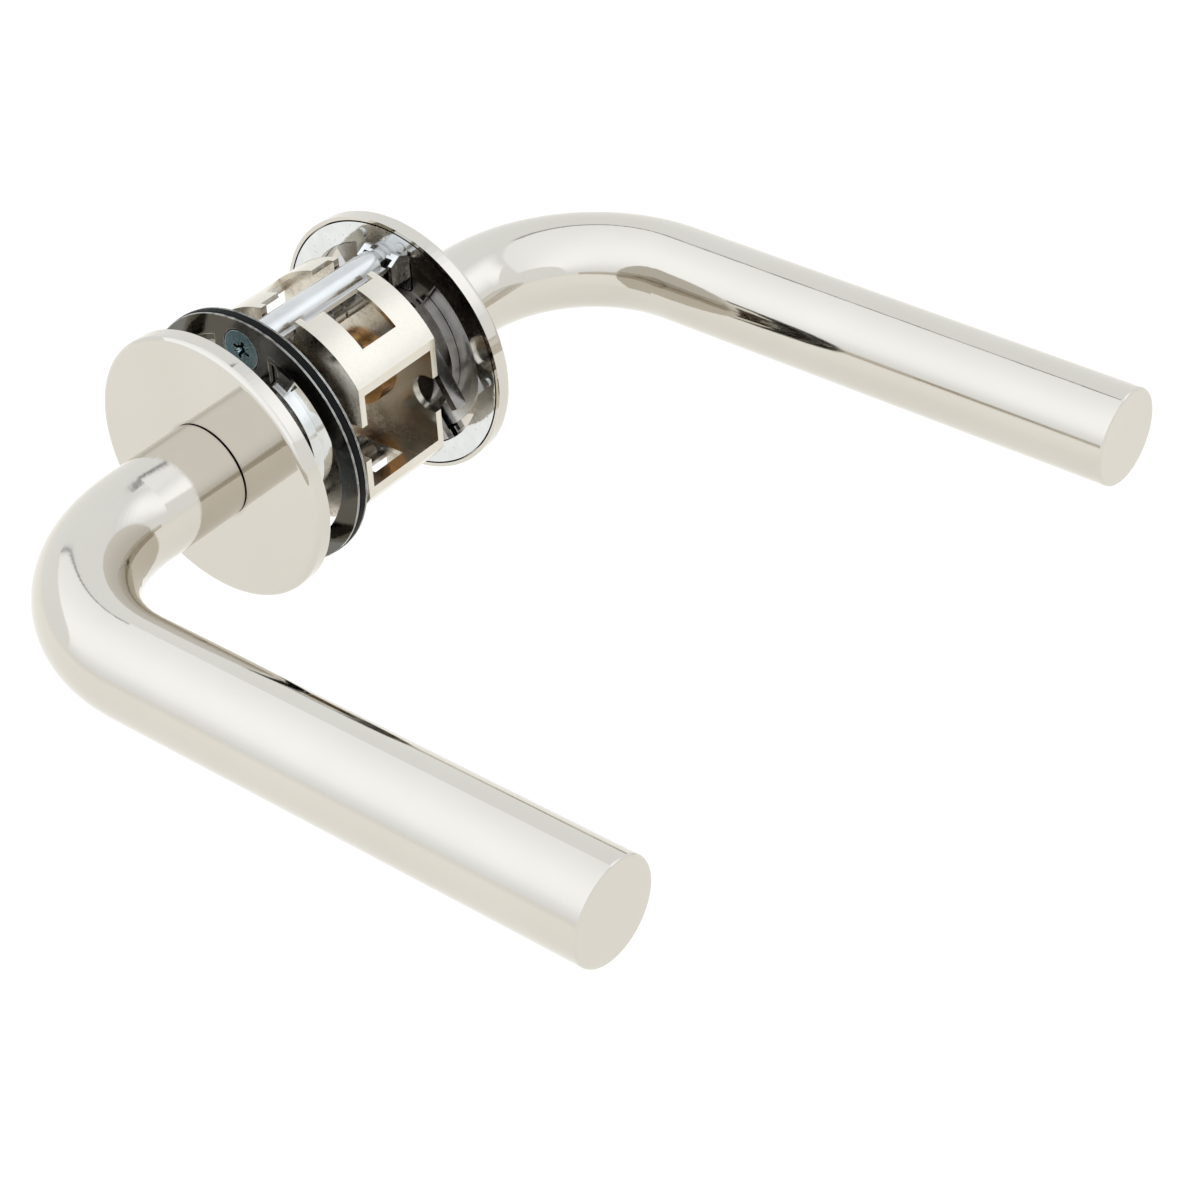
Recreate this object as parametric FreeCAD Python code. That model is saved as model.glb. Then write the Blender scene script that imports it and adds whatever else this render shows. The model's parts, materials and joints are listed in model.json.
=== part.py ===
import FreeCAD, Part
import os
from math import cos, sin, radians, sqrt

os.makedirs("parts", exist_ok=True)

# Door lever handle set, millimetres. X runs along the levers, Y through the door, Z up.
# The origin is on the spindle axis at the middle of the door.

V = FreeCAD.Vector
X_AXIS = V(1, 0, 0)
Y_AXIS = V(0, 1, 0)
Z_AXIS = V(0, 0, 1)

# door
door_thickness = 44.0
half_door = door_thickness / 2.0
seat_travel = 13.5

# clearances
running = 0.06
fit = 0.03
air = 0.3

# spindle
spindle_side = 8.0
spindle_bevel = 0.5
spindle_depth = 22.0
spindle_corner = spindle_side / sqrt(2.0)
socket_side = spindle_side + 0.12
socket_depth = spindle_depth + 2.0

# levers
lever_radius = 11.5
lever_reach = 159.0
lever_offset = 58.4
bend_radius = 37.0
end_edge = 0.7

# roses
rose_radius = 32.5
rose_depth = 4.2
rose_wall = 0.9
rose_edge = 1.3
rose_inside = rose_depth - rose_wall
backing_sheet = 0.6

# lever neck, its bearing and its circlip
neck_step = 2.5
spigot_radius = lever_radius - neck_step
spigot_end = -0.7
shoulder = rose_depth + 0.3
bearing_wall = 1.4
bearing_radius = spigot_radius + running + bearing_wall
clip_sheet = 0.8
clip_y = -0.1
clip_inner = spigot_radius - 0.8
clip_outer = spigot_radius + 1.9
grub_radius = 2.5
grub_y = 14.0
grub_top = spindle_side / 2.0 + 0.1
grub_length = lever_radius - grub_top - 1.8

# posts and screws
pitch_radius = 23.6
post_radius = 3.4
post_neck = post_radius - 0.8
wing_half = post_radius + 1.3
wing_sheet = 1.2
post_seat = 0.5
thread_radius = 2.45
thread_bore = thread_radius + 0.05
thread_length = 20.0
head_radius = 4.9
head_depth = head_radius - thread_radius

# mounting plates, under the roses
grip_radius = rose_radius - rose_wall - air
plate_radius = grip_radius - 0.1
plate_depth = rose_inside - air
plate_flange = 0.5
grip_depth = 1.6
groove_radius = plate_radius - grip_depth
plate_width = 5.0
opening_radius = plate_radius - plate_width
lug_half = head_radius + 3.1
web_angle = 54.0
backing_radius = opening_radius - 2.6
lip_high = rose_inside - backing_sheet - 0.1
lip_low = lip_high - 0.8
lip_radius = opening_radius - 1.7
box_half = wing_half + 0.5
box_wall = 1.0
box_rise = 3.1
box_top = opening_radius - 0.6

# spring housings
drum_radius = 16.8
drum_wall = 1.2
drum_low = -4.6
drum_high = -0.9
drum_floor = 0.9
lug_inner_z = drum_radius + air
cup_radius = drum_radius + 1.7
cup_low = 0.0
cup_high = rose_inside - backing_sheet - 0.15
arm_depth = 3.4
arm_sheet = 2.0
arm_reach = 9.2
flange_radius = opening_radius - air
flange_low = 0.3
flange_high = lip_low - 0.05

# return spring, rotor and its stop lug
wire_radius = 0.55
coil_radius = drum_radius - drum_wall - wire_radius - 0.95
coil_pitch = 1.25
coil_turns = 1.25
rotor_radius = coil_radius - wire_radius - 1.95
rotor_low = drum_low + drum_floor + 0.15
rotor_high = drum_high - 0.6
rotor_boss = spindle_corner + 1.75
stop_outer = rotor_radius - 1.0
stop_inner = stop_outer - 2.0
stop_span = 16.0
turn_limit = 45.0
ring_inner = rotor_radius + 1.6
ring_low = drum_high + 0.2
ring_high = clip_y - 0.15

# cage in the door bore
cage_radius = 26.75
cage_half = 12.8
cage_end = 22.4
wall_sheet = 1.7
shell_sheet = 1.2
arm_width = 7.2
arm_top = 75.0
band_top = 48.0
notch_radius = post_radius + 1.1
notch_half = wing_half + 0.4
side_notch = 4.6
side_depth = 6.4
bush_bore = spindle_corner + 0.45
bush_radius = bush_bore + 2.7
bush_stand = 2.5
stud_radius = 2.5
stud_z = pitch_radius - post_radius - stud_radius - air
floor_sheet = 1.0
floor_top = -(stud_z - stud_radius - air - floor_sheet)


def round_y(radius, y0, y1, x=0.0, z=0.0):
    return Part.makeCylinder(radius, y1 - y0, V(x, y0, z), Y_AXIS)


def ring_y(outer, inner, y0, y1, x=0.0, z=0.0):
    return round_y(outer, y0, y1, x, z).cut(round_y(inner, y0 - 1, y1 + 1, x, z))


def block(x0, x1, y0, y1, z0, z1):
    return Part.makeBox(x1 - x0, y1 - y0, z1 - z0, V(x0, y0, z0))


def join(shapes):
    whole = shapes[0]
    for shape in shapes[1:]:
        whole = whole.fuse(shape)
    return whole.removeSplitter()


def carve(shape, tools):
    for tool in tools:
        shape = shape.cut(tool)
    return shape


def sector(radius, angle0, angle1, y0, y1):
    # a pie slice about Y, angles from +X towards +Z
    points = [V(0, y0, 0)]
    steps = max(2, int(abs(angle1 - angle0) / 15.0) + 1)
    reach = radius / cos(radians((angle1 - angle0) / (2.0 * steps)))
    for i in range(steps + 1):
        a = radians(angle0 + (angle1 - angle0) * i / steps)
        points.append(V(reach * cos(a), y0, reach * sin(a)))
    points.append(points[0])
    face = Part.Face(Part.makePolygon(points))
    return face.extrude(V(0, y1 - y0, 0))


def edges_on(shape, y, radius, slack=0.02):
    found = []
    for edge in shape.Edges:
        curve = edge.Curve
        if isinstance(curve, Part.Circle) and abs(curve.Radius - radius) < slack:
            if abs(curve.Center.y - y) < slack:
                found.append(edge)
    return found


def back(shape, out=0.0):
    # a piece drawn outward from the door face, moved to the back of the door
    moved = shape.copy()
    moved.translate(V(0, half_door + out, 0))
    return moved


def front(shape, out=0.0):
    # the same piece mirrored to the front of the door
    return back(shape, out).mirror(V(0, 0, 0), Y_AXIS)


def save(name, shape):
    solids = shape.Solids
    if len(solids) == 1:
        shape = solids[0]
    else:
        shape = Part.makeCompound(solids)
    shape.exportStep("parts/" + name + ".step")
    print(name, len(solids), "valid", shape.isValid(), "mm3", round(shape.Volume, 1))


def square_bar(side, y0, y1, bevel=0.0):
    half = side / 2.0
    bar = block(-half, half, y0, y1, -half, half)
    if bevel > 0:
        long_edges = []
        for edge in bar.Edges:
            if edge.BoundBox.YLength > side * 1.5:
                long_edges.append(edge)
        bar = bar.makeChamfer(bevel, long_edges)
    return bar


def lever():
    axis_y = rose_depth + lever_offset
    turn_y = axis_y - bend_radius
    neck = round_y(lever_radius, shoulder, turn_y)
    circle = Part.makeCircle(lever_radius, V(0, turn_y, 0), Y_AXIS)
    disc = Part.Face(Part.Wire([circle]))
    bend = disc.revolve(V(bend_radius, turn_y, 0), Z_AXIS, -90)
    bar = Part.makeCylinder(lever_radius, lever_reach - bend_radius, V(bend_radius, axis_y, 0), X_AXIS)
    rim = []
    for edge in bar.Edges:
        if edge.BoundBox.XLength < 0.01 and edge.BoundBox.XMin > lever_reach - 0.01:
            rim.append(edge)
    bar = bar.makeFillet(end_edge, rim)
    spigot = round_y(spigot_radius, spigot_end, shoulder + 0.5)
    body = join([neck, bend, bar, spigot])
    groove = ring_y(spigot_radius + 1, clip_inner, clip_y - 0.05, clip_y + clip_sheet + 0.05)
    socket = square_bar(socket_side, spigot_end - 1, socket_depth)
    hole = Part.makeCylinder(grub_radius + fit, lever_radius + 2, V(0, grub_y, 0), V(0, 0, -1))
    return carve(body, [groove, socket, hole])


def grub_screw():
    top = -grub_top
    body = Part.makeCylinder(grub_radius, grub_length, V(0, grub_y, top), V(0, 0, -1))
    points = []
    for i in range(7):
        a = radians(60 * i)
        points.append(V(1.25 * cos(a), grub_y + 1.25 * sin(a), top - grub_length - 0.1))
    key = Part.Face(Part.makePolygon(points)).extrude(V(0, 0, 2.6))
    return body.cut(key)


def lug_zones(margin, y0, y1):
    # square lugs at the screws, from near the drum out to the ring
    zones = []
    wide = lug_half + margin
    for side in (1, -1):
        ends = sorted((side * (lug_inner_z - margin), side * (plate_radius + 1)))
        zone = block(-wide, wide, y0, y1, ends[0], ends[1])
        corners = []
        for edge in zone.Edges:
            box = edge.BoundBox
            if box.YLength > (y1 - y0) * 0.9 and abs(box.ZMin - side * (lug_inner_z - margin)) < 0.01:
                corners.append(edge)
        zones.append(zone.makeFillet(1.2, corners))
    return zones


def web_sectors(radius, margin, y0, y1):
    # the parts of a ring beside the lugs, above and below
    parts = []
    for middle in (90, -90):
        spread = 90 - web_angle + margin
        parts.append(sector(radius, middle - spread, middle + spread, y0, y1))
    return parts


def rose_cover():
    body = round_y(rose_radius, 0, rose_depth)
    body = body.makeFillet(rose_edge, edges_on(body, rose_depth, rose_radius))
    hollow = round_y(rose_radius - rose_wall, -1, rose_inside)
    hole = round_y(bearing_radius + fit, -1, rose_depth + 1)
    return carve(body, [hollow, hole])


def backing_disc():
    top = rose_inside
    disc = ring_y(backing_radius, bearing_radius + fit, top - backing_sheet, top)
    slots = lug_zones(air, top - 2, top + 1)
    for side in (1, -1):
        middle = 90 - side * 90
        slots.append(ring_slot(backing_radius - 9.8, backing_radius - 6.8, middle - 25, middle + 25,
                               top - 2, top + 1))
    return carve(disc, slots)


def ring_slot(inner, outer, angle0, angle1, y0, y1):
    return ring_y(outer, inner, y0, y1).common(sector(outer + 2, angle0, angle1, y0, y1))


def neck_bearing():
    inner = spigot_radius + running
    sleeve = ring_y(bearing_radius, inner, clip_y + clip_sheet + 0.15, rose_depth)
    collar = ring_y(lever_radius - 0.4, inner, rose_depth, shoulder - 0.08)
    return join([sleeve, collar])


def neck_circlip():
    body = ring_y(clip_outer - 1.0, clip_inner + 0.04, clip_y, clip_y + clip_sheet)
    ears = []
    for side in (1, -1):
        ears.append(round_y(1.5, clip_y, clip_y + clip_sheet, side * 3.4, -clip_outer + 1.6))
    body = join([body] + ears)
    gap = block(-2.0, 2.0, clip_y - 1, clip_y + 2, -clip_outer - 3, 0)
    holes = []
    for side in (1, -1):
        holes.append(round_y(0.6, clip_y - 1, clip_y + 2, side * 3.4, -clip_outer + 1.2))
    cut = carve(body, [gap] + holes)
    return max(cut.Solids, key=lambda s: s.Volume)


def plate_blank():
    body = round_y(plate_radius, 0, plate_depth)
    groove = ring_y(plate_radius + 2, groove_radius, plate_flange, plate_depth - plate_flange)
    opening = round_y(opening_radius, -1, plate_depth + 1)
    body = carve(body, [groove, opening])
    lips = []
    for part in web_sectors(plate_radius, -2, lip_low, lip_high):
        lips.append(ring_y(opening_radius + 0.4, lip_radius, lip_low, lip_high).common(part))
    lugs = join(lug_zones(0, 0, plate_depth)).common(round_y(groove_radius, -1, plate_depth + 1))
    return join([body, lugs] + lips)


def grip_ring():
    low = plate_flange + 0.05
    high = plate_depth - plate_flange - 0.05
    ring = ring_y(grip_radius, groove_radius + 0.05, low, high)
    beads = edges_on(ring, low, grip_radius) + edges_on(ring, high, grip_radius)
    return ring.makeFillet(0.45, beads)


def front_plate():
    body = plate_blank()
    cuts = []
    for side in (1, -1):
        z = side * pitch_radius
        cuts.append(round_y(thread_radius + 0.3, -1, plate_depth + 1, 0, z))
        cuts.append(round_y(post_radius + running, -1, post_seat, 0, z))
        # the seat takes the ends of the post's wings too, which keeps the post from turning
        wide = wing_half + running
        thick = wing_sheet / 2.0 + running
        cuts.append(block(-wide, wide, -1, post_seat, z - thick, z + thick))
        cone = Part.makeCone(thread_radius + 0.1, head_radius + 0.3, head_depth + 0.2,
                             V(0, plate_depth - head_depth - 0.2, z), Y_AXIS)
        cuts.append(cone)
    return carve(body, cuts)


def box_zones(margin, y0, y1):
    # the box that stands around the foot of each post
    zones = []
    wide = box_half + margin
    low = pitch_radius - post_radius - 1.6 - margin
    for side in (1, -1):
        ends = sorted((side * low, side * (box_top + margin)))
        zones.append(block(-wide, wide, y0, y1, ends[0], ends[1]))
    return zones


def post_box(side):
    # open box with sloping tops to its side walls
    low = pitch_radius - post_radius - 1.6
    outline = [(0.6, low), (-box_rise, low), (-box_rise, pitch_radius + 0.4), (-0.2, box_top), (0.6, box_top)]
    points = []
    for y, z in outline + outline[:1]:
        points.append(V(-box_half, y, side * z))
    whole = Part.Face(Part.makePolygon(points)).extrude(V(2 * box_half, 0, 0))
    inside = box_half - box_wall
    ends = sorted((side * (low + box_wall), side * (box_top - 0.7)))
    hollow = block(-inside, inside, -box_rise - 1, plate_depth - 1.1, ends[0], ends[1])
    return whole, hollow


def back_plate():
    body = plate_blank()
    holes = []
    feet = []
    for side in (1, -1):
        z = side * pitch_radius
        whole, hollow = post_box(side)
        body = body.fuse(whole).cut(hollow)
        feet.append(round_y(post_neck + 0.9, -0.8, plate_depth - 0.6, 0, z))
        holes.append(round_y(post_neck + fit, -2, plate_depth - 0.6, 0, z))
    pips = []
    reach = (plate_radius + opening_radius) / 2.0
    for angle in (0, 78, 102, 180, 258, 282):
        a = radians(angle)
        pips.append(round_y(1.1, -0.4, plate_flange - 0.1, reach * cos(a), reach * sin(a)))
    return carve(join([body] + feet + pips), holes)


def housing(turns=()):
    # drum with a floor towards the door, a wider cup on the rose side
    # and a flange held under the plate's lips
    drum = round_y(drum_radius, drum_low, cup_low + 0.5)
    cup = round_y(cup_radius, cup_low, cup_high)
    hollow = round_y(drum_radius - drum_wall, drum_low + drum_floor, cup_high + 1)
    wide = round_y(cup_radius - drum_wall, cup_low + 1.0, cup_high + 1)
    hole = round_y(rotor_boss + running, drum_low - 1, drum_high + 1)
    shell = carve(join([drum, cup]), [hollow, wide, hole])
    webs = []
    for part in web_sectors(flange_radius + 2, -0.5, flange_low, flange_high):
        webs.append(ring_y(flange_radius, cup_radius - 0.6, flange_low, flange_high).common(part))
    arms = []
    for turn in turns:
        # a straight stop arm, along the outside of the drum
        arm = block(-arm_sheet / 2.0, arm_sheet / 2.0, drum_low - 0.4, drum_low - 0.4 + arm_depth,
                    -arm_reach, 5.0)
        arm.rotate(V(0, 0, 0), Y_AXIS, -32)
        arm.translate(V(drum_radius + 1.0, 0, 0.6))
        arm.rotate(V(0, 0, 0), Y_AXIS, turn)
        arms.append(arm.common(round_y(flange_radius, drum_low - 1, 0)).cut(hollow).cut(hole))
    body = join([shell] + webs + arms)
    stop = ring_slot(stop_inner - 0.4, stop_outer + 0.4, 90 - stop_span / 2.0 - turn_limit - 2.0,
                     90 + stop_span / 2.0 + 2.0, drum_low - 1, drum_low + drum_floor + 0.1)
    cuts = [stop]
    cuts += lug_zones(air, -air, plate_depth + 1)
    cuts += box_zones(air, -box_rise - air, 0)
    # a slot in the rim takes the fixed end of the spring
    slot = block(-0.8, 0.8, drum_low + drum_floor + 0.4, -0.6, coil_radius - 1.5, cup_radius + 2)
    slot.rotate(V(0, 0, 0), Y_AXIS, 32)
    cuts.append(slot)
    groove = ring_y(drum_radius - drum_wall + 0.45, rotor_radius - 0.6, ring_low - 0.05, ring_high + 0.05)
    cuts.append(groove)
    return carve(body, cuts)


def housing_ring():
    # sprung ring that keeps the rotor in its drum
    outer = drum_radius - drum_wall + 0.4
    ring = ring_y(outer, ring_inner, ring_low, ring_high)
    gap = sector(outer + 2, 228, 252, -2, 1)
    return ring.cut(gap)


def rotor():
    disc = round_y(rotor_radius, rotor_low, rotor_high)
    boss = round_y(rotor_boss, drum_low - 0.9, rotor_high)
    stop = ring_slot(stop_inner, stop_outer, 90 - stop_span / 2.0, 90 + stop_span / 2.0,
                     drum_low - 0.9, rotor_low + 0.2)
    body = join([disc, boss, stop])
    hole = square_bar(socket_side, drum_low - 3, rotor_high + 2)
    bite = ring_y(rotor_radius + 2, rotor_radius - 1.3, rotor_low - 1, rotor_high + 1)
    bite = bite.common(sector(rotor_radius + 4, 200, 250, rotor_low - 1, rotor_high + 1))
    return carve(body, [hole, bite])


def coil_spring():
    height = coil_pitch * coil_turns
    low = drum_low + drum_floor + wire_radius + 0.1
    helix = Part.makeHelix(coil_pitch, height, coil_radius)
    start = V(coil_radius, 0, 0)
    heading = V(0, coil_radius, coil_pitch / 6.2832)
    circle = Part.makeCircle(wire_radius, start, heading)
    pipe = Part.Wire(helix.Edges).makePipeShell([Part.Wire([circle])], True, True)
    pipe.rotate(V(0, 0, 0), X_AXIS, -90)
    pipe.translate(V(0, low, 0))
    return pipe


def post():
    # threaded round core with a thin wing along each side
    foot = half_door + plate_depth - 0.7
    taper = half_door - box_rise - 1.2
    core = round_y(post_radius, -half_door - post_seat, taper)
    cone = Part.makeCone(post_radius, post_neck, 2.0, V(0, taper, 0), Y_AXIS)
    neck = round_y(post_neck, taper + 2.0, foot)
    wings = block(-wing_half, wing_half, -half_door - post_seat, taper, -wing_sheet / 2.0, wing_sheet / 2.0)
    body = join([core, cone, neck, wings])
    thread = round_y(thread_bore, -half_door - 1, -half_door + thread_length)
    return body.cut(thread)


def fixing_screw():
    top = -(half_door + plate_depth)
    cone = Part.makeCone(head_radius, thread_radius, head_depth, V(0, top, 0), Y_AXIS)
    shank = round_y(thread_radius, top + head_depth - 0.1, top + thread_length)
    body = join([cone, shank])
    cuts = []
    for turn in (0, 90):
        bar = block(-2.4, 2.4, top - 1, top + 1.4, -0.45, 0.45)
        bar.rotate(V(0, 0, 0), Y_AXIS, turn + 20)
        cuts.append(bar)
    for turn in (45, 135):
        bar = block(-2.7, 2.7, top - 1, top + 0.35, -0.14, 0.14)
        bar.rotate(V(0, 0, 0), Y_AXIS, turn + 20)
        cuts.append(bar)
    cuts.append(Part.makeCone(1.3, 0.5, 1.7, V(0, top, 0), Y_AXIS))
    return carve(body, cuts)


def two_posts(shape):
    shapes = []
    for side in (1, -1):
        copy = shape.copy()
        copy.translate(V(0, 0, side * pitch_radius))
        shapes.append(copy)
    return Part.makeCompound(shapes)


def cage_wall(y0, y1):
    disc = round_y(cage_radius, y0, y1)
    slab = block(-cage_end, cage_end, y0 - 1, y1 + 1, -cage_radius - 1, cage_radius + 1)
    disc = disc.common(slab)
    cuts = [round_y(bush_radius + fit, y0 - 1, y1 + 1)]
    for side in (1, -1):
        centre = side * (cage_end - side_depth + side_notch)
        cuts.append(round_y(side_notch, y0 - 1, y1 + 1, centre, 0))
        cuts.append(block(min(centre, side * 30.0), max(centre, side * 30.0), y0 - 1, y1 + 1,
                          -side_notch, side_notch))
        z = side * pitch_radius
        cuts.append(round_y(notch_radius, y0 - 1, y1 + 1, 0, z))
        ends = sorted((side * (pitch_radius - wing_sheet / 2.0 - 0.4), side * 30.0))
        cuts.append(block(-notch_half, notch_half, y0 - 1, y1 + 1, ends[0], ends[1]))
        cuts.append(round_y(stud_radius - 0.9, y0 - 1, y1 + 1, 0, side * stud_z))
    return carve(disc, cuts)


def shell(y0, y1, angle0, angle1):
    ring = ring_y(cage_radius, cage_radius - shell_sheet, y0, y1)
    slab = block(-cage_end, cage_end, y0 - 1, y1 + 1, -cage_radius - 1, cage_radius + 1)
    parts = []
    for a, b in ((angle0, angle1), (180 - angle1, 180 - angle0),
                 (-angle1, -angle0), (180 + angle0, 180 + angle1)):
        parts.append(ring.common(sector(cage_radius + 3, a, b, y0, y1)).common(slab))
    return parts


def cage_floor():
    low = floor_top - floor_sheet
    plate = block(-cage_end, cage_end, -cage_half + 0.5, cage_half - arm_width - 0.05, low, floor_top)
    cuts = []
    for side in (1, -1):
        x0 = min(side * 3.5, side * 17.5)
        x1 = max(side * 3.5, side * 17.5)
        cuts.append(block(x0, x1, -5.4, cage_half - arm_width - 1.6, low - 1, floor_top + 1))
        end = side * cage_end
        cuts.append(block(min(end, end - side * 1.2), max(end, end - side * 1.2), -7.8, 3.4,
                          floor_top - 0.5, floor_top + 1))
    return carve(plate, cuts)


def cage_near():
    split = cage_half - arm_width
    parts = [cage_wall(-cage_half, -cage_half + wall_sheet)]
    parts += shell(-cage_half, -cage_half + arm_width, 25, arm_top)
    parts += shell(-cage_half, split - 0.02, 25, band_top)
    parts.append(cage_floor())
    body = join(parts)
    return body


def cage_far():
    split = cage_half - arm_width
    parts = [cage_wall(cage_half - wall_sheet, cage_half)]
    parts += shell(split, cage_half, 25, arm_top)
    low = floor_top - floor_sheet
    sill = block(-cage_end, cage_end, split, cage_half - 0.5, low, floor_top)
    parts.append(sill)
    body = join(parts)
    return body


def cage_stud():
    inner = cage_half - wall_sheet
    body = round_y(stud_radius, -inner, inner)
    cuts = []
    for y in (-6.0, -2.0, 2.0, 6.0):
        cuts.append(ring_y(stud_radius + 1, stud_radius - 0.5, y - 0.4, y + 0.4))
    body = carve(body, cuts)
    ends = []
    for side in (1, -1):
        pair = sorted((side * (inner - 0.5), side * (cage_half - 0.2)))
        ends.append(round_y(stud_radius - 0.9 - fit, pair[0], pair[1]))
    return join([body] + ends)


def two_studs():
    shapes = []
    for side in (1, -1):
        copy = cage_stud()
        copy.translate(V(0, 0, side * stud_z))
        shapes.append(copy)
    return Part.makeCompound(shapes)


def spindle_bushes():
    inner = cage_half - wall_sheet
    shapes = []
    for side in (1, -1):
        ends = sorted((side * (inner - bush_stand), side * (cage_half + 0.2)))
        shapes.append(ring_y(bush_radius, bush_bore, ends[0], ends[1]))
    return Part.makeCompound(shapes)


def spindle():
    reach = half_door + spindle_depth
    bar = square_bar(spindle_side, -reach, reach, spindle_bevel)
    return bar


# levers and everything that turns or slides with them
save("front_lever", front(lever(), seat_travel))
save("front_grub_screw", front(grub_screw(), seat_travel))
save("front_circlip", front(neck_circlip(), seat_travel))
save("back_lever", back(lever()))
save("back_grub_screw", back(grub_screw()))
save("back_circlip", back(neck_circlip()))

# roses
save("front_rose_cover", front(rose_cover(), seat_travel))
save("front_rose_backing", front(backing_disc(), seat_travel))
save("front_neck_bearing", front(neck_bearing(), seat_travel))
save("back_rose_cover", back(rose_cover()))
save("back_rose_backing", back(backing_disc()))
save("back_neck_bearing", back(neck_bearing()))

# plates
save("front_mounting_plate", front(front_plate()))
save("back_mounting_plate", back(back_plate()))
save("front_grip_ring", front(grip_ring()))
save("back_grip_ring", back(grip_ring()))

# sprung centres
save("front_spring_housing", front(housing()))
save("back_spring_housing", back(housing((0, 180))))
save("front_housing_ring", front(housing_ring()))
save("back_housing_ring", back(housing_ring()))
save("front_rotor", front(rotor()))
save("back_rotor", back(rotor()))
save("front_return_spring", front(coil_spring()))
save("back_return_spring", back(coil_spring()))

# fixings
save("fixing_posts", two_posts(post()))
save("fixing_screws", two_posts(fixing_screw()))

# cage and spindle
save("cage_near_half", cage_near())
save("cage_far_half", cage_far())
save("cage_studs", two_studs())
save("spindle_bushes", spindle_bushes())
save("spindle", spindle())
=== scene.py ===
import json
import math

import bpy
import bmesh
from mathutils import Matrix, Vector


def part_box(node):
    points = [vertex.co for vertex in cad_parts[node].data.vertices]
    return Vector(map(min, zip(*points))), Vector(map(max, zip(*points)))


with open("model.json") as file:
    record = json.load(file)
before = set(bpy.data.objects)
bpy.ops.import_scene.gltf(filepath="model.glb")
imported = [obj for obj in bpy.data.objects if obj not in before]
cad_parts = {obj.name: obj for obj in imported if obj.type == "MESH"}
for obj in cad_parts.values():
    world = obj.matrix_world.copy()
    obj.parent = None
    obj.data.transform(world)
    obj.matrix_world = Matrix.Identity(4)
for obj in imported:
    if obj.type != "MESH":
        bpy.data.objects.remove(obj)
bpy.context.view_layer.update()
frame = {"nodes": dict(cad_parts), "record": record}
cadNodes = frame["nodes"]
scene = bpy.context.scene
print("door lever handle: frame loaded with", len(cadNodes), "pieces")


def addNode(tree, kind, place=(0, 0), **values):
    node = tree.nodes.new(kind)
    node.location = place
    for name, value in values.items():
        setattr(node, name, value)
    return node


def setInputs(node, **values):
    # socket names are given in camelCase without their spaces
    for socket in node.inputs:
        plain = socket.name.replace(" ", "")
        key = plain[:1].lower() + plain[1:]
        if key in values and socket.enabled:
            socket.default_value = values.pop(key)
    if values:
        raise ValueError(f"{node.name} has no input {sorted(values)}")
    return node


def mathNode(tree, operation, a, b, place=(0, 0), clamp=False):
    node = addNode(tree, "ShaderNodeMath", place, operation=operation, use_clamp=clamp)
    for socket, value in zip(node.inputs, (a, b)):
        if isinstance(value, (int, float)):
            socket.default_value = value
        else:
            tree.links.new(value, socket)
    return node.outputs[0]


def rangeNode(tree, value, low, high, toLow=0.0, toHigh=1.0, place=(0, 0)):
    node = addNode(tree, "ShaderNodeMapRange", place, clamp=True)
    tree.links.new(value, node.inputs["Value"])
    for name, number in (("From Min", low), ("From Max", high), ("To Min", toLow), ("To Max", toHigh)):
        node.inputs[name].default_value = number
    return node.outputs["Result"]


def mixColour(tree, factor, first, second, place=(0, 0)):
    node = addNode(tree, "ShaderNodeMix", place, data_type="RGBA")
    for socket, value in ((node.inputs[0], factor), (node.inputs[6], first), (node.inputs[7], second)):
        if isinstance(value, tuple):
            socket.default_value = (*value, 1.0)
        else:
            tree.links.new(value, socket)
    return node.outputs[2]


def newGroup(name, inputs, outputs):
    group = bpy.data.node_groups.new(name, "ShaderNodeTree")
    for label, kind, value in inputs:
        socket = group.interface.new_socket(name=label, in_out="INPUT", socket_type=kind)
        if value is not None:
            socket.default_value = value
    for label, kind in outputs:
        group.interface.new_socket(name=label, in_out="OUTPUT", socket_type=kind)
    entry = addNode(group, "NodeGroupInput", (-900, 0))
    leave = addNode(group, "NodeGroupOutput", (700, 0))
    return group, entry, leave


polishValues = {
    "lineDetail": 4.0, "lineRoughness": 0.62, "lineRange": (0.3, 0.7),
    "cloudDetail": 3.0, "cloudRoughness": 0.5, "cloudDistortion": 0.4, "cloudRange": (0.38, 0.66),
}


def makePolishMarks():
    # faint drawn-out polishing lines over slow cloudy haze
    group, entry, leave = newGroup(
        "polishMarks",
        [("Vector", "NodeSocketVector", None), ("Stretch", "NodeSocketVector", (1.0, 1.0, 1.0)),
         ("Fineness", "NodeSocketFloat", 900.0), ("Cloud Scale", "NodeSocketFloat", 22.0)],
        [("Lines", "NodeSocketFloat"), ("Haze", "NodeSocketFloat")])
    stretched = addNode(group, "ShaderNodeVectorMath", (-680, 120), operation="MULTIPLY")
    group.links.new(entry.outputs["Vector"], stretched.inputs[0])
    group.links.new(entry.outputs["Stretch"], stretched.inputs[1])
    lines = addNode(group, "ShaderNodeTexNoise", (-440, 160))
    setInputs(lines, detail=polishValues["lineDetail"], roughness=polishValues["lineRoughness"])
    group.links.new(stretched.outputs[0], lines.inputs["Vector"])
    group.links.new(entry.outputs["Fineness"], lines.inputs["Scale"])
    cloud = addNode(group, "ShaderNodeTexNoise", (-440, -160))
    setInputs(cloud, detail=polishValues["cloudDetail"], roughness=polishValues["cloudRoughness"],
              distortion=polishValues["cloudDistortion"])
    group.links.new(entry.outputs["Vector"], cloud.inputs["Vector"])
    group.links.new(entry.outputs["Cloud Scale"], cloud.inputs["Scale"])
    marks = rangeNode(group, lines.outputs[0], *polishValues["lineRange"], place=(-160, 160))
    group.links.new(marks, leave.inputs["Lines"])
    haze = rangeNode(group, cloud.outputs[0], *polishValues["cloudRange"], place=(-160, -160))
    group.links.new(haze, leave.inputs["Haze"])
    return group


edgeValues = {
    "samples": 4, "flat": 0.995, "sharp": 0.86,
    "chipDetail": 3.0, "chipRoughness": 0.6, "chipRange": (0.3, 0.55),
}


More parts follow.
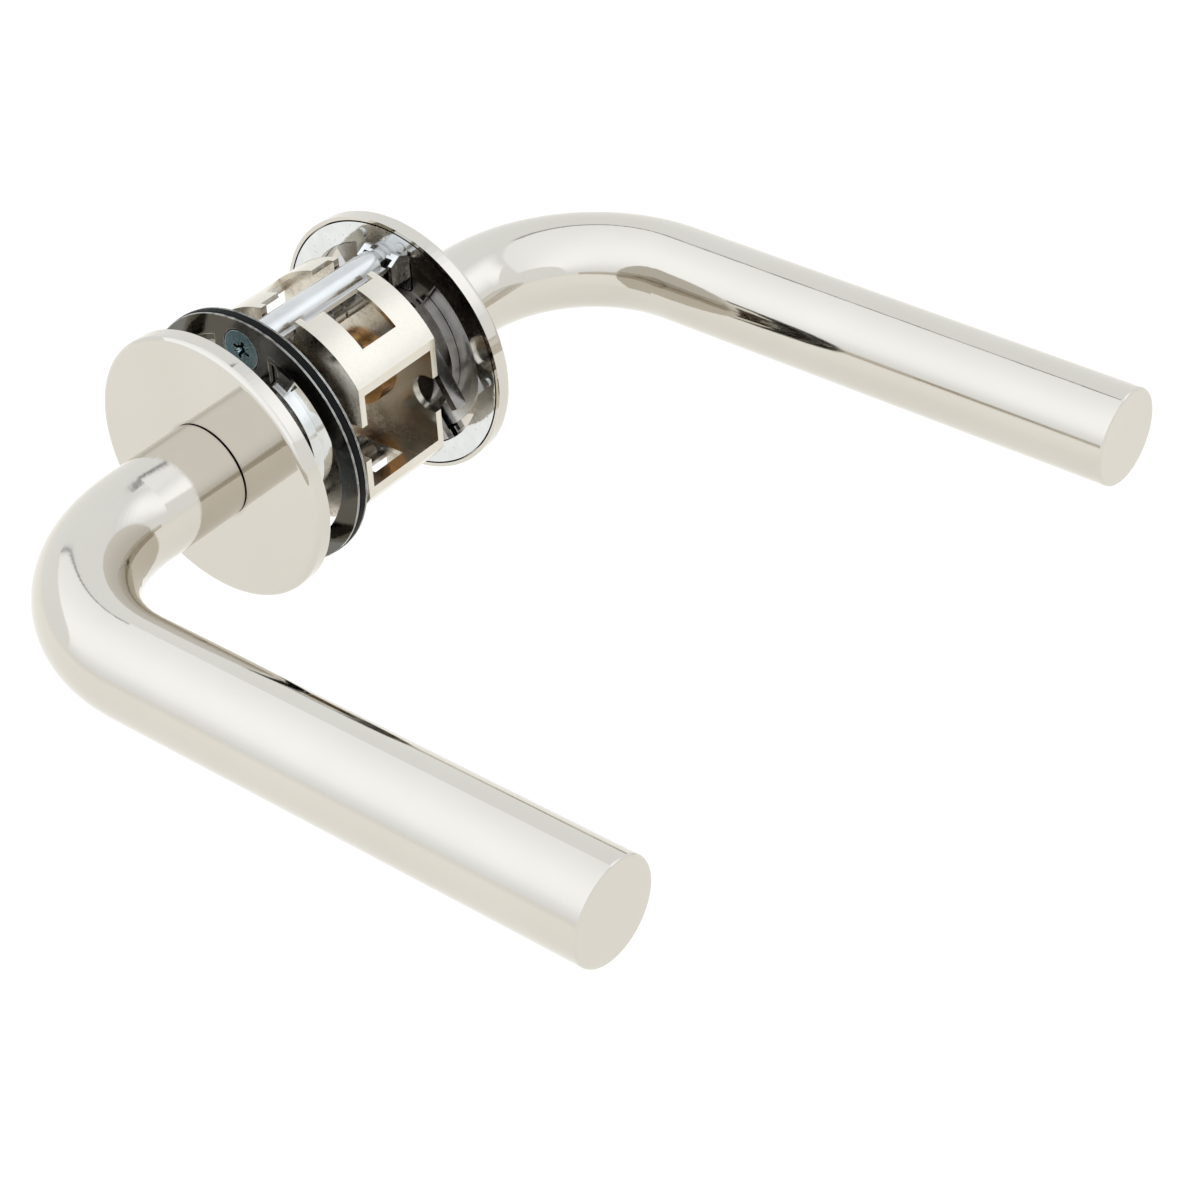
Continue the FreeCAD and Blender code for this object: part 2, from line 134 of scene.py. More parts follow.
def makeEdgeWearAndHighlight():
    # a broken-up mask along sharp edges: worn edges that also carry painted highlights
    group, entry, leave = newGroup(
        "edgeWear",
        [("Vector", "NodeSocketVector", None), ("Width", "NodeSocketFloat", 0.0004),
         ("Breakup", "NodeSocketFloat", 400.0)],
        [("Mask", "NodeSocketFloat")])
    bevel = addNode(group, "ShaderNodeBevel", (-680, 160), samples=edgeValues["samples"])
    group.links.new(entry.outputs["Width"], bevel.inputs["Radius"])
    surface = addNode(group, "ShaderNodeNewGeometry", (-680, -40))
    facing = addNode(group, "ShaderNodeVectorMath", (-440, 120), operation="DOT_PRODUCT")
    group.links.new(bevel.outputs[0], facing.inputs[0])
    group.links.new(surface.outputs["Normal"], facing.inputs[1])
    edge = rangeNode(group, facing.outputs["Value"], edgeValues["flat"], edgeValues["sharp"],
                     place=(-200, 120))
    chips = addNode(group, "ShaderNodeTexNoise", (-440, -220))
    setInputs(chips, detail=edgeValues["chipDetail"], roughness=edgeValues["chipRoughness"])
    group.links.new(entry.outputs["Vector"], chips.inputs["Vector"])
    group.links.new(entry.outputs["Breakup"], chips.inputs["Scale"])
    broken = rangeNode(group, chips.outputs[0], *edgeValues["chipRange"], place=(-200, -220))
    group.links.new(mathNode(group, "MULTIPLY", edge, broken, (80, 0), True), leave.inputs["Mask"])
    return group


cornerShadeAndDustValues = {
    "samples": 8, "open": 0.95, "deep": 0.25,
    "patchDetail": 4.0, "patchRoughness": 0.6, "patchRange": (0.35, 0.65), "thinnest": 0.35,
}


def makeCornerShadeAndDust():
    # an occlusion mask of inside corners, broken into patches: painted shade on the metals, dust on the
    # plastics
    group, entry, leave = newGroup(
        "cornerDirt",
        [("Vector", "NodeSocketVector", None), ("Reach", "NodeSocketFloat", 0.004),
         ("Patch Scale", "NodeSocketFloat", 180.0)],
        [("Mask", "NodeSocketFloat")])
    shade = addNode(group, "ShaderNodeAmbientOcclusion", (-680, 160), samples=cornerShadeAndDustValues["samples"])
    group.links.new(entry.outputs["Reach"], shade.inputs["Distance"])
    deep = rangeNode(group, shade.outputs["AO"], cornerShadeAndDustValues["open"], cornerShadeAndDustValues["deep"], place=(-440, 160))
    patch = addNode(group, "ShaderNodeTexNoise", (-680, -160))
    setInputs(patch, detail=cornerShadeAndDustValues["patchDetail"], roughness=cornerShadeAndDustValues["patchRoughness"])
    group.links.new(entry.outputs["Vector"], patch.inputs["Vector"])
    group.links.new(entry.outputs["Patch Scale"], patch.inputs["Scale"])
    spread = rangeNode(group, patch.outputs[0], *cornerShadeAndDustValues["patchRange"], cornerShadeAndDustValues["thinnest"], 1.0,
                       (-440, -160))
    group.links.new(mathNode(group, "MULTIPLY", deep, spread, (-100, 0), True), leave.inputs["Mask"])
    return group


castValues = {
    "rippleDetail": 2.0, "rippleRoughness": 0.45, "rippleDistortion": 0.6,
    "pitRim": 0.16, "pitHeart": 0.05, "pitDepth": 0.25, "toneRange": (0.35, 0.68),
}


def makeCastSkin():
    # the slightly rippled and pitted face of a die casting
    group, entry, leave = newGroup(
        "castSkin",
        [("Vector", "NodeSocketVector", None), ("Ripple", "NodeSocketFloat", 160.0),
         ("Pit Scale", "NodeSocketFloat", 700.0)],
        [("Height", "NodeSocketFloat"), ("Pits", "NodeSocketFloat"), ("Tone", "NodeSocketFloat")])
    ripple = addNode(group, "ShaderNodeTexNoise", (-680, 200))
    setInputs(ripple, detail=castValues["rippleDetail"], roughness=castValues["rippleRoughness"],
              distortion=castValues["rippleDistortion"])
    group.links.new(entry.outputs["Vector"], ripple.inputs["Vector"])
    group.links.new(entry.outputs["Ripple"], ripple.inputs["Scale"])
    pits = addNode(group, "ShaderNodeTexVoronoi", (-680, -100))
    group.links.new(entry.outputs["Vector"], pits.inputs["Vector"])
    group.links.new(entry.outputs["Pit Scale"], pits.inputs["Scale"])
    dots = rangeNode(group, pits.outputs["Distance"], castValues["pitRim"], castValues["pitHeart"],
                     place=(-440, -100))
    sunk = mathNode(group, "MULTIPLY", dots, castValues["pitDepth"], (-240, -60))
    height = mathNode(group, "SUBTRACT", ripple.outputs[0], sunk, (-40, 100))
    group.links.new(height, leave.inputs["Height"])
    group.links.new(dots, leave.inputs["Pits"])
    tone = rangeNode(group, ripple.outputs[0], *castValues["toneRange"], place=(-240, 260))
    group.links.new(tone, leave.inputs["Tone"])
    return group


speckleValues = {
    "spotDetail": 6.0, "spotRoughness": 0.72, "fieldScale": 120.0, "fieldDetail": 2.0, "fieldShare": 0.4,
    "fade": 0.3,
}


def makeSpeckles():
    # small stains of uneven size, thicker in some places
    group, entry, leave = newGroup(
        "speckles",
        [("Vector", "NodeSocketVector", None), ("Spot Scale", "NodeSocketFloat", 1100.0),
         ("Cover", "NodeSocketFloat", 0.5)],
        [("Mask", "NodeSocketFloat")])
    spots = addNode(group, "ShaderNodeTexNoise", (-680, 160))
    setInputs(spots, detail=speckleValues["spotDetail"], roughness=speckleValues["spotRoughness"])
    group.links.new(entry.outputs["Vector"], spots.inputs["Vector"])
    group.links.new(entry.outputs["Spot Scale"], spots.inputs["Scale"])
    fields = addNode(group, "ShaderNodeTexNoise", (-680, -160))
    setInputs(fields, scale=speckleValues["fieldScale"], detail=speckleValues["fieldDetail"])
    group.links.new(entry.outputs["Vector"], fields.inputs["Vector"])
    low = mathNode(group, "SUBTRACT", 1.0, entry.outputs["Cover"], (-440, 0))
    drift = mathNode(group, "MULTIPLY", fields.outputs[0], speckleValues["fieldShare"], (-440, -160))
    shifted = mathNode(group, "ADD", spots.outputs[0], drift, (-240, 60))
    above = mathNode(group, "SUBTRACT", shifted, low, (-60, 60))
    mask = rangeNode(group, above, 0.0, speckleValues["fade"], place=(140, 60))
    group.links.new(mask, leave.inputs["Mask"])
    return group


effects = {
    "polish": makePolishMarks(),
    "edge": makeEdgeWearAndHighlight(),
    "dirt": makeCornerShadeAndDust(),
    "cast": makeCastSkin(),
    "speckle": makeSpeckles(),
}
print("shared effects:", ", ".join(sorted(effects)))


def startMaterial(name):
    material = bpy.data.materials.new(name)
    material.use_nodes = True
    tree = material.node_tree
    tree.nodes.clear()
    out = addNode(tree, "ShaderNodeOutputMaterial", (900, 0))
    shader = addNode(tree, "ShaderNodeBsdfPrincipled", (600, 0))
    tree.links.new(shader.outputs[0], out.inputs[0])
    place = addNode(tree, "ShaderNodeTexCoord", (-1200, 0))
    return material, tree, shader, place.outputs["Object"]


def useEffect(tree, effect, vector, place, **values):
    node = addNode(tree, "ShaderNodeGroup", place)
    node.node_tree = effects[effect]
    tree.links.new(vector, node.inputs["Vector"])
    return setInputs(node, **values)


def addBump(tree, shader, height, strength, distance, place=(300, -300)):
    bump = addNode(tree, "ShaderNodeBump", place)
    setInputs(bump, strength=strength, distance=distance)
    tree.links.new(height, bump.inputs["Height"])
    tree.links.new(bump.outputs[0], shader.inputs["Normal"])


surfaceValues = {
    "edgeBreakup": 500.0, "dirtPatches": 220.0, "cagePatches": 260.0, "dustPatches": 300.0,
    "tarnishRough": 0.25, "soilRough": 0.3, "spotRough": 0.35, "pitsPerGrain": 2.6,
}


def polishEffect(tree, where, look, place):
    return useEffect(tree, "polish", where, place, stretch=look["stretch"], fineness=look["fineness"],
                     cloudScale=look["cloudScale"])


def edgeEffect(tree, where, look, place):
    return useEffect(tree, "edge", where, place, width=look["edgeWidth"],
                     breakup=surfaceValues["edgeBreakup"])


# the occlusion mask: painted shade in inside corners on the metals, dust on the plastics
def shadeAndDustEffect(tree, where, look, place, patches):
    return useEffect(tree, "dirt", where, place, reach=look["dirtReach"], patchScale=surfaceValues[patches])


def scaled(tree, value, amount, place):
    return mathNode(tree, "MULTIPLY", value, amount, place)


def roughnessBetween(tree, mask, look, place):
    return rangeNode(tree, mask, 0.0, 1.0, *look["roughness"], place)


def polishedMetal(name, look):
    # plated and polished: a mirror with faint lines, worn edges with painted highlights, and painted shade
    # darkening the inside corners
    material, tree, shader, where = startMaterial(name)
    setInputs(shader, metallic=1.0)
    marks = polishEffect(tree, where, look, (-900, 200))
    wearAndHighlight = edgeEffect(tree, where, look, (-900, -120))
    dirt = shadeAndDustEffect(tree, where, look, (-900, -380), "dirtPatches")
    body = mixColour(tree, marks.outputs["Haze"], look["colour"], look["hazeColour"], (-500, 300))
    wornAndHighlighted = scaled(tree, wearAndHighlight.outputs["Mask"], look["edgeAmount"], (-660, 40))
    edged = mixColour(tree, wornAndHighlighted, body, look["edgeColour"], (-240, 260))
    # painted shade: the occlusion mask darkens the colour in inside corners and dulls it there
    cornerShade = scaled(tree, dirt.outputs["Mask"], look["dirtAmount"], (-660, -240))
    darkenedBody = mixColour(tree, cornerShade, edged, look["dirtColour"], (20, 240))
    tree.links.new(darkenedBody, shader.inputs["Base Color"])
    rough = roughnessBetween(tree, marks.outputs["Haze"], look, (-240, -20))
    lines = scaled(tree, marks.outputs["Lines"], look["lineRough"], (-240, -160))
    lined = mathNode(tree, "ADD", rough, lines, (20, 0))
    dull = scaled(tree, cornerShade, surfaceValues["tarnishRough"], (20, -180))
    tree.links.new(mathNode(tree, "ADD", lined, dull, (240, -40), True), shader.inputs["Roughness"])
    addBump(tree, shader, marks.outputs["Lines"], look["bump"], look["bumpDepth"])
    return material


def castMetal(name, look):
    # die cast and plated: rippled mirror with pits, worn edges with painted highlights and painted shade in
    # inside corners
    material, tree, shader, where = startMaterial(name)
    setInputs(shader, metallic=1.0)
    skin = useEffect(tree, "cast", where, (-900, 200), ripple=look["ripple"], pitScale=look["pitScale"])
    wearAndHighlight = edgeEffect(tree, where, look, (-900, -120))
    dirt = shadeAndDustEffect(tree, where, look, (-900, -380), "dirtPatches")
    body = mixColour(tree, skin.outputs["Tone"], look["colour"], look["hazeColour"], (-500, 300))
    wornAndHighlighted = scaled(tree, wearAndHighlight.outputs["Mask"], look["edgeAmount"], (-660, 40))
    edged = mixColour(tree, wornAndHighlighted, body, look["edgeColour"], (-240, 260))
    # painted shade in inside corners, joined with the darker cast pits
    corners = scaled(tree, dirt.outputs["Mask"], look["dirtAmount"], (-660, -240))
    pits = scaled(tree, skin.outputs["Pits"], look["pitAmount"], (-660, -60))
    shadeAndPits = mathNode(tree, "MAXIMUM", corners, pits, (-440, -160))
    darkenedBody = mixColour(tree, shadeAndPits, edged, look["dirtColour"], (20, 240))
    tree.links.new(darkenedBody, shader.inputs["Base Color"])
    rough = roughnessBetween(tree, skin.outputs["Tone"], look, (-240, -20))
    dull = scaled(tree, shadeAndPits, surfaceValues["soilRough"], (-240, -160))
    tree.links.new(mathNode(tree, "ADD", rough, dull, (20, 0), True), shader.inputs["Roughness"])
    addBump(tree, shader, skin.outputs["Height"], look["bump"], look["bumpDepth"])
    return material


def pressedNickel(name, look):
    # the cage: bright outside; where it is sheltered, a brown painted shade and brown stain speckles
    material, tree, shader, where = startMaterial(name)
    setInputs(shader, metallic=1.0)
    marks = polishEffect(tree, where, look, (-1000, 300))
    wearAndHighlight = edgeEffect(tree, where, look, (-1000, 20))
    dirt = shadeAndDustEffect(tree, where, look, (-1000, -220), "cagePatches")
    spots = useEffect(tree, "speckle", where, (-1000, -460), spotScale=look["spotScale"],
                      cover=look["cover"])
    body = mixColour(tree, marks.outputs["Haze"], look["colour"], look["hazeColour"], (-600, 360))
    sheltered = scaled(tree, dirt.outputs["Mask"], look["dirtAmount"], (-760, -200))
    likely = mathNode(tree, "ADD", sheltered, look["spotBase"], (-760, -380))
    speckled = mathNode(tree, "MULTIPLY", spots.outputs["Mask"], likely, (-560, -340), True)
    # painted shade: a brown tint laid into the sheltered, occluded places
    tinted = mixColour(tree, sheltered, body, look["shelterColour"], (-360, 320))
    brown = mixColour(tree, speckled, tinted, look["spotColour"], (-140, 280))
    # worn edges with painted highlights
    wornAndHighlighted = scaled(tree, wearAndHighlight.outputs["Mask"], look["edgeAmount"], (-560, 60))
    tree.links.new(mixColour(tree, wornAndHighlighted, brown, look["edgeColour"], (80, 240)), shader.inputs["Base Color"])
    rough = roughnessBetween(tree, marks.outputs["Haze"], look, (-360, -20))
    dull = scaled(tree, speckled, surfaceValues["spotRough"], (-140, -140))
    tree.links.new(mathNode(tree, "ADD", rough, dull, (80, -40), True), shader.inputs["Roughness"])
    addBump(tree, shader, marks.outputs["Lines"], look["bump"], look["bumpDepth"])
    return material


def satinPlastic(name, look):
    # rubber and nylon: fine skin with dust in the corners
    material, tree, shader, where = startMaterial(name)
    skin = useEffect(tree, "cast", where, (-900, 200), ripple=look["grain"],
                     pitScale=look["grain"] * surfaceValues["pitsPerGrain"])
    dirt = shadeAndDustEffect(tree, where, look, (-900, -200), "dustPatches")
    body = mixColour(tree, skin.outputs["Tone"], look["colour"], look["hazeColour"], (-500, 300))
    dust = scaled(tree, dirt.outputs["Mask"], look["dustAmount"], (-660, -120))
    tree.links.new(mixColour(tree, dust, body, look["dustColour"], (-200, 240)), shader.inputs["Base Color"])
    rough = roughnessBetween(tree, skin.outputs["Tone"], look, (-240, -20))
    tree.links.new(rough, shader.inputs["Roughness"])
    setInputs(shader, specularIORLevel=look["shine"])
    addBump(tree, shader, skin.outputs["Height"], look["bump"], look["bumpDepth"])
    return material


# in the looks below, the bright edge colour paints highlights onto worn edges and the dark corner colour is
# painted shade
leverLook = {
    "colour": (0.622, 0.585, 0.524), "hazeColour": (0.640, 0.604, 0.545), "edgeColour": (0.82, 0.80, 0.75),
    "dirtColour": (0.16, 0.13, 0.10), "roughness": (0.035, 0.075), "lineRough": 0.02,
    "stretch": (0.05, 1.0, 1.0), "fineness": 1500.0, "cloudScale": 26.0,
    "edgeWidth": 0.0003, "edgeAmount": 0.5, "dirtReach": 0.0012, "dirtAmount": 0.5,
    "bump": 0.05, "bumpDepth": 0.00004,
}
roseLook = dict(leverLook, colour=(0.624, 0.586, 0.526), hazeColour=(0.636, 0.600, 0.542),
                roughness=(0.015, 0.03), lineRough=0.006, stretch=(1.0, 0.2, 1.0), bump=0.02)
# the front plate's dark base colour is painted shade: it stands in for the dark reflections of the shaded
# back of the rose; its bright edges are painted highlights
frontPlateLook = dict(leverLook, colour=(0.13, 0.125, 0.113), hazeColour=(0.16, 0.155, 0.142),
                      edgeColour=(0.86, 0.85, 0.81), dirtColour=(0.05, 0.045, 0.04), roughness=(0.05, 0.10),
                      stretch=(1.0, 0.2, 1.0), edgeWidth=0.0004, edgeAmount=0.9, dirtReach=0.002)
# the cage's shelter colour is a painted brown shade for its sheltered insides; its spot colour is real
# stains
cageLook = {
    "colour": (0.69, 0.645, 0.56), "hazeColour": (0.73, 0.69, 0.61), "edgeColour": (0.88, 0.85, 0.78),
    "shelterColour": (0.46, 0.385, 0.30), "spotColour": (0.20, 0.145, 0.10), "roughness": (0.14, 0.24),
    "stretch": (1.0, 0.15, 1.0), "fineness": 900.0, "cloudScale": 60.0,
    "edgeWidth": 0.00025, "edgeAmount": 0.7,
    "dirtReach": 0.012, "dirtAmount": 0.9, "spotScale": 1300.0, "cover": 0.42, "spotBase": 0.05,
    "bump": 0.06, "bumpDepth": 0.00005,
}
backPlateLook = {
    "colour": (0.69, 0.695, 0.69), "hazeColour": (0.74, 0.75, 0.745), "edgeColour": (0.85, 0.85, 0.84),
    "dirtColour": (0.07, 0.06, 0.055), "roughness": (0.045, 0.10), "ripple": 190.0, "pitScale": 650.0,
    "pitAmount": 0.35, "edgeWidth": 0.0003, "edgeAmount": 0.55, "dirtReach": 0.004, "dirtAmount": 0.75,
    "bump": 0.25, "bumpDepth": 0.0002,
}
frontHousingLook = dict(backPlateLook, colour=(0.62, 0.62, 0.60), hazeColour=(0.69, 0.69, 0.67),
                        pitAmount=0.15, roughness=(0.05, 0.12), bump=0.12, dirtAmount=0.6)
backHousingLook = dict(backPlateLook, colour=(0.32, 0.30, 0.28), hazeColour=(0.40, 0.38, 0.36),
                       roughness=(0.12, 0.25))
postLook = dict(leverLook, colour=(0.60, 0.60, 0.595), hazeColour=(0.67, 0.67, 0.66), roughness=(0.08, 0.16),
                lineRough=0.12, stretch=(1.0, 0.04, 1.0), fineness=1400.0, cloudScale=90.0, edgeAmount=0.7,
                dirtReach=0.003, bump=0.25, bumpDepth=0.00006)
# the screw's bright edge colour paints glints on its rim, and its dark corner colour paints the shade in the
# gap around it
screwLook = dict(postLook, colour=(0.13, 0.215, 0.245), hazeColour=(0.27, 0.36, 0.38),
                 edgeColour=(0.86, 0.92, 0.92), dirtColour=(0.03, 0.05, 0.06),
                 dirtReach=0.0015, dirtAmount=0.8)
steelLook = dict(postLook, colour=(0.52, 0.51, 0.49), hazeColour=(0.60, 0.59, 0.57), roughness=(0.16, 0.28))
springLook = dict(postLook, colour=(0.36, 0.35, 0.34), hazeColour=(0.44, 0.43, 0.42), roughness=(0.2, 0.32))
spindleLook = dict(postLook, colour=(0.46, 0.45, 0.43), hazeColour=(0.56, 0.55, 0.53), roughness=(0.18, 0.3))
blackSteelLook = dict(postLook, colour=(0.08, 0.08, 0.08), hazeColour=(0.13, 0.13, 0.13),
                      roughness=(0.25, 0.4))
sheetLook = dict(postLook, colour=(0.60, 0.60, 0.59), hazeColour=(0.68, 0.68, 0.67), roughness=(0.12, 0.22),
                 stretch=(1.0, 1.0, 0.08))
brassLook = dict(postLook, colour=(0.50, 0.27, 0.10), hazeColour=(0.62, 0.36, 0.15),
                 edgeColour=(0.85, 0.60, 0.32), dirtColour=(0.12, 0.06, 0.02), roughness=(0.12, 0.24))
rubberLook = {
    "colour": (0.003, 0.003, 0.003), "hazeColour": (0.006, 0.006, 0.006), "dustColour": (0.03, 0.028, 0.026),
    "dustAmount": 0.10, "shine": 0.08, "dirtReach": 0.001, "grain": 900.0, "roughness": (0.50, 0.64),
    "bump": 0.15, "bumpDepth": 0.0001,
}
nylonLook = dict(rubberLook, colour=(0.02, 0.018, 0.017), hazeColour=(0.035, 0.03, 0.028),
                 roughness=(0.3, 0.42))

finishes = {
    "lever_nickel": polishedMetal("leverNickel", leverLook),
    "rose_nickel": polishedMetal("roseNickel", roseLook),
    "dark_chrome": polishedMetal("frontPlateChrome", frontPlateLook),
    "cage_nickel": pressedNickel("cageNickel", cageLook),
    "cast_zinc": castMetal("backPlateZinc", backPlateLook),
    "bright_zinc": castMetal("frontHousingZinc", frontHousingLook),
    "dark_zinc": castMetal("backHousingZinc", backHousingLook),
    "post_zinc": polishedMetal("postZinc", postLook),
    "screw_zinc": polishedMetal("screwZinc", screwLook),
    "steel": polishedMetal("turnedSteel", steelLook),
    "spring_steel": polishedMetal("springSteel", springLook),
    "spindle_steel": polishedMetal("spindleSteel", spindleLook),
    "black_steel": polishedMetal("grubScrewSteel", blackSteelLook),
    "zinc_sheet": polishedMetal("backingSheet", sheetLook),
    "brass": polishedMetal("bushBrass", brassLook),
    "rubber": satinPlastic("gripRubber", rubberLook),
    "nylon": satinPlastic("bearingNylon", nylonLook),
}

for part in frame["record"]["subparts"]:
    cadNodes[part["node"]].data.materials.clear()
    cadNodes[part["node"]].data.materials.append(finishes[part["material_slot"]])
print("finishes:", len(finishes))


studio = {
    "floorRadius": 7.0, "floorSides": 96, "floorRoom": 0.012, "floorColour": (0.43, 0.42, 0.39),
    "floorShade": 0.985, "floorGlow": 0.55, "floorGlowTint": (1.0, 0.996, 0.985), "floorRoughness": 0.85,
    "cloudScale": 6.0, "cloudDetail": 3.0, "skyRange": (-0.1, 0.6),
    "skyLow": (1.04, 1.08, 1.10), "skyHigh": (1.05, 1.09, 1.13),
    "tentFarY": 0.42, "tentTopZ": 0.74, "tentNearY": -1.15, "tentLowZ": 0.05, "tentHalfWidth": 1.7,
    "tentRise": 0.25, "tentSteps": 32, "tentFar": 1.20, "tentMiddle": 1.50, "tentNear": 1.02,
    "tentFade": 0.96, "tentTint": (0.97, 1.015, 1.07), "brightStops": (0.3, 0.7), "glowStrength": 2.0,
    "frameWidth": 0.030, "frameDrop": 0.2, "frameGlow": 0.34, "frameRight": -0.10,
    "panelY": 1.05, "panelX": (-0.15, 1.5), "panelZ": (0.45, 1.75), "panelGlow": 1.52,
    "panelStrips": 12, "panelRows": 8, "panelFade": 0.45,
}


def emissionMaterial(name, stops):
    # brightness follows the stops along the sheet's second texture coordinate
    material = bpy.data.materials.new(name)
    material.use_nodes = True
    tree = material.node_tree
    tree.nodes.clear()
    out = addNode(tree, "ShaderNodeOutputMaterial", (600, 0))
    glow = addNode(tree, "ShaderNodeEmission", (400, 0))
    tree.links.new(glow.outputs[0], out.inputs[0])
    where = addNode(tree, "ShaderNodeTexCoord", (-600, 0))
    split = addNode(tree, "ShaderNodeSeparateXYZ", (-400, 0))
    tree.links.new(where.outputs["UV"], split.inputs[0])
    ramp = addNode(tree, "ShaderNodeValToRGB", (-180, 0))
    tree.links.new(split.outputs["Y"], ramp.inputs[0])
    for i, (place, value) in enumerate(stops):
        stop = ramp.color_ramp.elements[i] if i < 2 else ramp.color_ramp.elements.new(place)
        stop.position = place
        stop.color = (*(value * tint / studio["glowStrength"] for tint in studio["tentTint"]), 1.0)
    ramp.color_ramp.interpolation = "B_SPLINE"
    tree.links.new(ramp.outputs[0], glow.inputs["Color"])
    glow.inputs["Strength"].default_value = studio["glowStrength"]
    return material


def hideFromCamera(thing):
    thing.visible_camera = False
    thing.visible_shadow = False


def sheetMesh(name, profile, ends, material):
    # a ruled sheet along X through the profile's points, with a texture coordinate along the profile
    mesh = bpy.data.meshes.new(name)
    build = bmesh.new()
    layer = build.loops.layers.uv.new("uv")
    rows = [[build.verts.new((x, y, z)) for x in ends] for y, z in profile]
    last = len(profile) - 1
    for i in range(last):
        face = build.faces.new((rows[i][0], rows[i][1], rows[i + 1][1], rows[i + 1][0]))
        for loop, along in zip(face.loops, (i, i, i + 1, i + 1)):
            loop[layer].uv = (0.5, along / last)
    build.to_mesh(mesh)
    build.free()
    mesh.materials.append(material)
    sheet = bpy.data.objects.new(name, mesh)
    scene.collection.objects.link(sheet)
    hideFromCamera(sheet)


def lowestSwing():
    # how far down the end of a lever comes when it is turned to its limit
    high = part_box("front_lever")[1]
    joints = frame["record"]["behaviour"]["joints"]
    turn = math.radians(max(joint["range_deg"][1] for joint in joints if joint["type"] == "hinge"))
    return high.x * math.sin(turn) + high.z * math.cos(turn)


def makeFloor():
    # the set hangs in a door, so the floor lies below the levers' whole swing
    mesh = bpy.data.meshes.new("studioFloor")
    build = bmesh.new()
    bmesh.ops.create_circle(build, cap_ends=True, segments=studio["floorSides"],
                            radius=studio["floorRadius"])
    build.to_mesh(mesh)
    build.free()
    floor = bpy.data.objects.new("studioFloor", mesh)
    floor.location = (0, 0, -(lowestSwing() + studio["floorRoom"]))
    scene.collection.objects.link(floor)
    material, tree, shader, where = startMaterial("floorPaper")
    cloud = addNode(tree, "ShaderNodeTexNoise", (-600, 0))
    setInputs(cloud, scale=studio["cloudScale"], detail=studio["cloudDetail"])
    tree.links.new(where, cloud.inputs["Vector"])
    base = studio["floorColour"]
    shaded = tuple(c * studio["floorShade"] for c in base)
    tree.links.new(mixColour(tree, cloud.outputs[0], base, shaded), shader.inputs["Base Color"])
    setInputs(shader, roughness=studio["floorRoughness"], emissionColor=(*studio["floorGlowTint"], 1.0),
              emissionStrength=studio["floorGlow"])
    mesh.materials.append(material)


def arcPoints(first, second, corner, steps):
    # a smooth bend from first to second, pulled towards corner
    points = []
    ends = (first, corner, second)
    for i in range(steps + 1):
        t = i / steps
        weights = ((1 - t) ** 2, 2 * t * (1 - t), t ** 2)
        points.append(tuple(sum(w * p[k] for w, p in zip(weights, ends)) for k in (0, 1)))
    return points


def makeTent():
    far = (studio["tentFarY"], studio["tentTopZ"])
    near = (studio["tentNearY"], studio["tentLowZ"])
    corner = (studio["tentNearY"], studio["tentTopZ"] + studio["tentRise"])
    first, second = studio["brightStops"]
    middle = studio["tentMiddle"]
    glow = emissionMaterial("tentGlow", [(0.0, studio["tentFar"]), (1.0, studio["tentNear"]),
                                         (first, middle), (second, middle * studio["tentFade"])])
    half = studio["tentHalfWidth"]
    sheetMesh("studioTent", arcPoints(far, near, corner, studio["tentSteps"]), (-half, half), glow)
    # a thin darker batten along the tent's far edge, on its left
    dark = emissionMaterial("tentFrame", [(0.0, studio["frameGlow"]), (1.0, studio["frameGlow"])])
    width = studio["frameWidth"]
    outer = (far[0] + width, far[1] - studio["frameDrop"] * width)
    sheetMesh("tentFarFrame", [far, outer], (-half, studio["frameRight"]), dark)


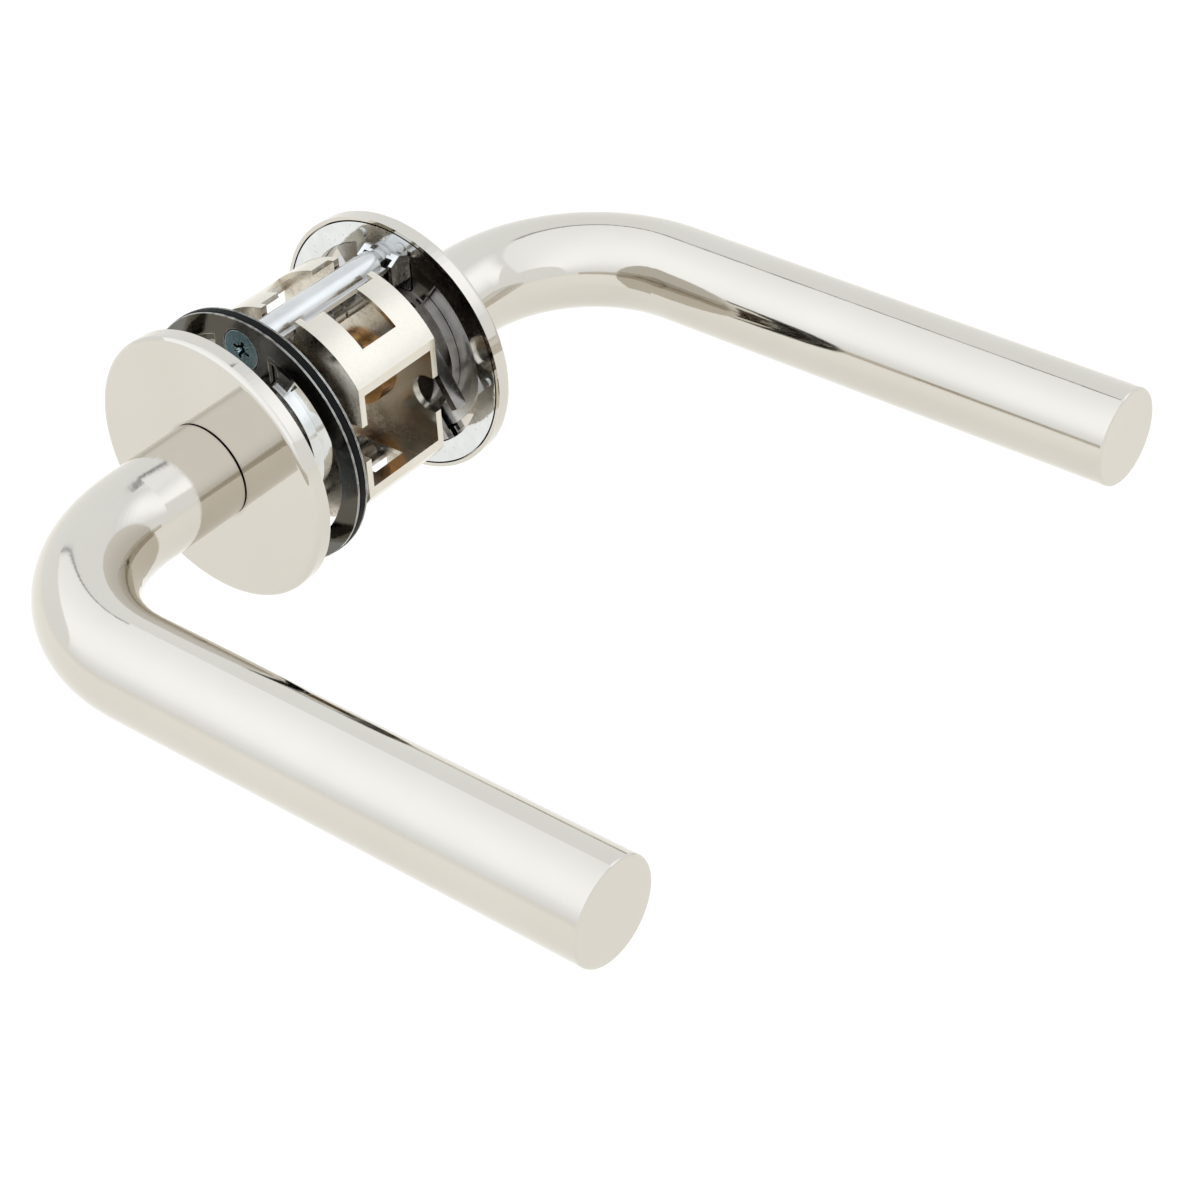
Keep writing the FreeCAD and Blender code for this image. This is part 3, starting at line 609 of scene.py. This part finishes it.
def makePanel():
    # a soft panel behind on the right, fading in from its left end
    left, right = studio["panelX"]
    low, high = studio["panelZ"]
    first, second = studio["brightStops"]
    strips, rows = studio["panelStrips"], studio["panelRows"]
    dim = studio["skyHigh"][0]
    profile = [(studio["panelY"], low + (high - low) * k / rows) for k in range(rows + 1)]
    for i in range(strips):
        rise = min(1.0, (i + 0.5) / strips / studio["panelFade"])
        value = dim + (studio["panelGlow"] - dim) * rise * rise * (3 - 2 * rise)
        glow = emissionMaterial(f"panelGlow{i}", [(0.0, dim), (1.0, dim), (first, value), (second, value)])
        ends = (left + (right - left) * i / strips, left + (right - left) * (i + 1) / strips)
        sheetMesh(f"studioPanel{i}", profile, ends, glow)


def makeWorld():
    world = bpy.data.worlds.new("studioWorld")
    scene.world = world
    world.use_nodes = True
    tree = world.node_tree
    tree.nodes.clear()
    out = addNode(tree, "ShaderNodeOutputWorld", (400, 0))
    sky = addNode(tree, "ShaderNodeBackground", (200, 0))
    where = addNode(tree, "ShaderNodeTexCoord", (-600, 0))
    split = addNode(tree, "ShaderNodeSeparateXYZ", (-400, 0))
    tree.links.new(where.outputs["Generated"], split.inputs[0])
    height = rangeNode(tree, split.outputs["Z"], *studio["skyRange"], place=(-200, 0))
    tree.links.new(mixColour(tree, height, studio["skyLow"], studio["skyHigh"]), sky.inputs["Color"])
    tree.links.new(sky.outputs[0], out.inputs[0])


shot = {
    "place": (0.40946, -0.39611, 0.37377), "back": (0.5113, -0.6052, 0.6103), "roll": -3.262,
    "lens": 90.29, "sensor": 36.0, "near": 0.01, "far": 50.0,
}


def makeCamera():
    # places are in metres and the roll in degrees; "back" is the way from the view to the camera
    back = Vector(shot["back"]).normalized()
    flat = Vector((0, 0, 1)).cross(back).normalized()
    rise = back.cross(flat)
    roll = math.radians(shot["roll"])
    right = math.cos(roll) * flat + math.sin(roll) * rise
    up = math.cos(roll) * rise - math.sin(roll) * flat
    data = bpy.data.cameras.new("shotCamera")
    data.lens = shot["lens"]
    data.sensor_width = shot["sensor"]
    data.clip_start = shot["near"]
    data.clip_end = shot["far"]
    camera = bpy.data.objects.new("shotCamera", data)
    turn = Matrix((right, up, back)).transposed()
    camera.matrix_world = Matrix.Translation(shot["place"]) @ turn.to_4x4()
    scene.collection.objects.link(camera)
    scene.camera = camera


makeFloor()
makeTent()
makePanel()
makeWorld()
makeCamera()
scene.view_settings.view_transform = "Standard"
scene.view_settings.look = "None"
print("studio ready")
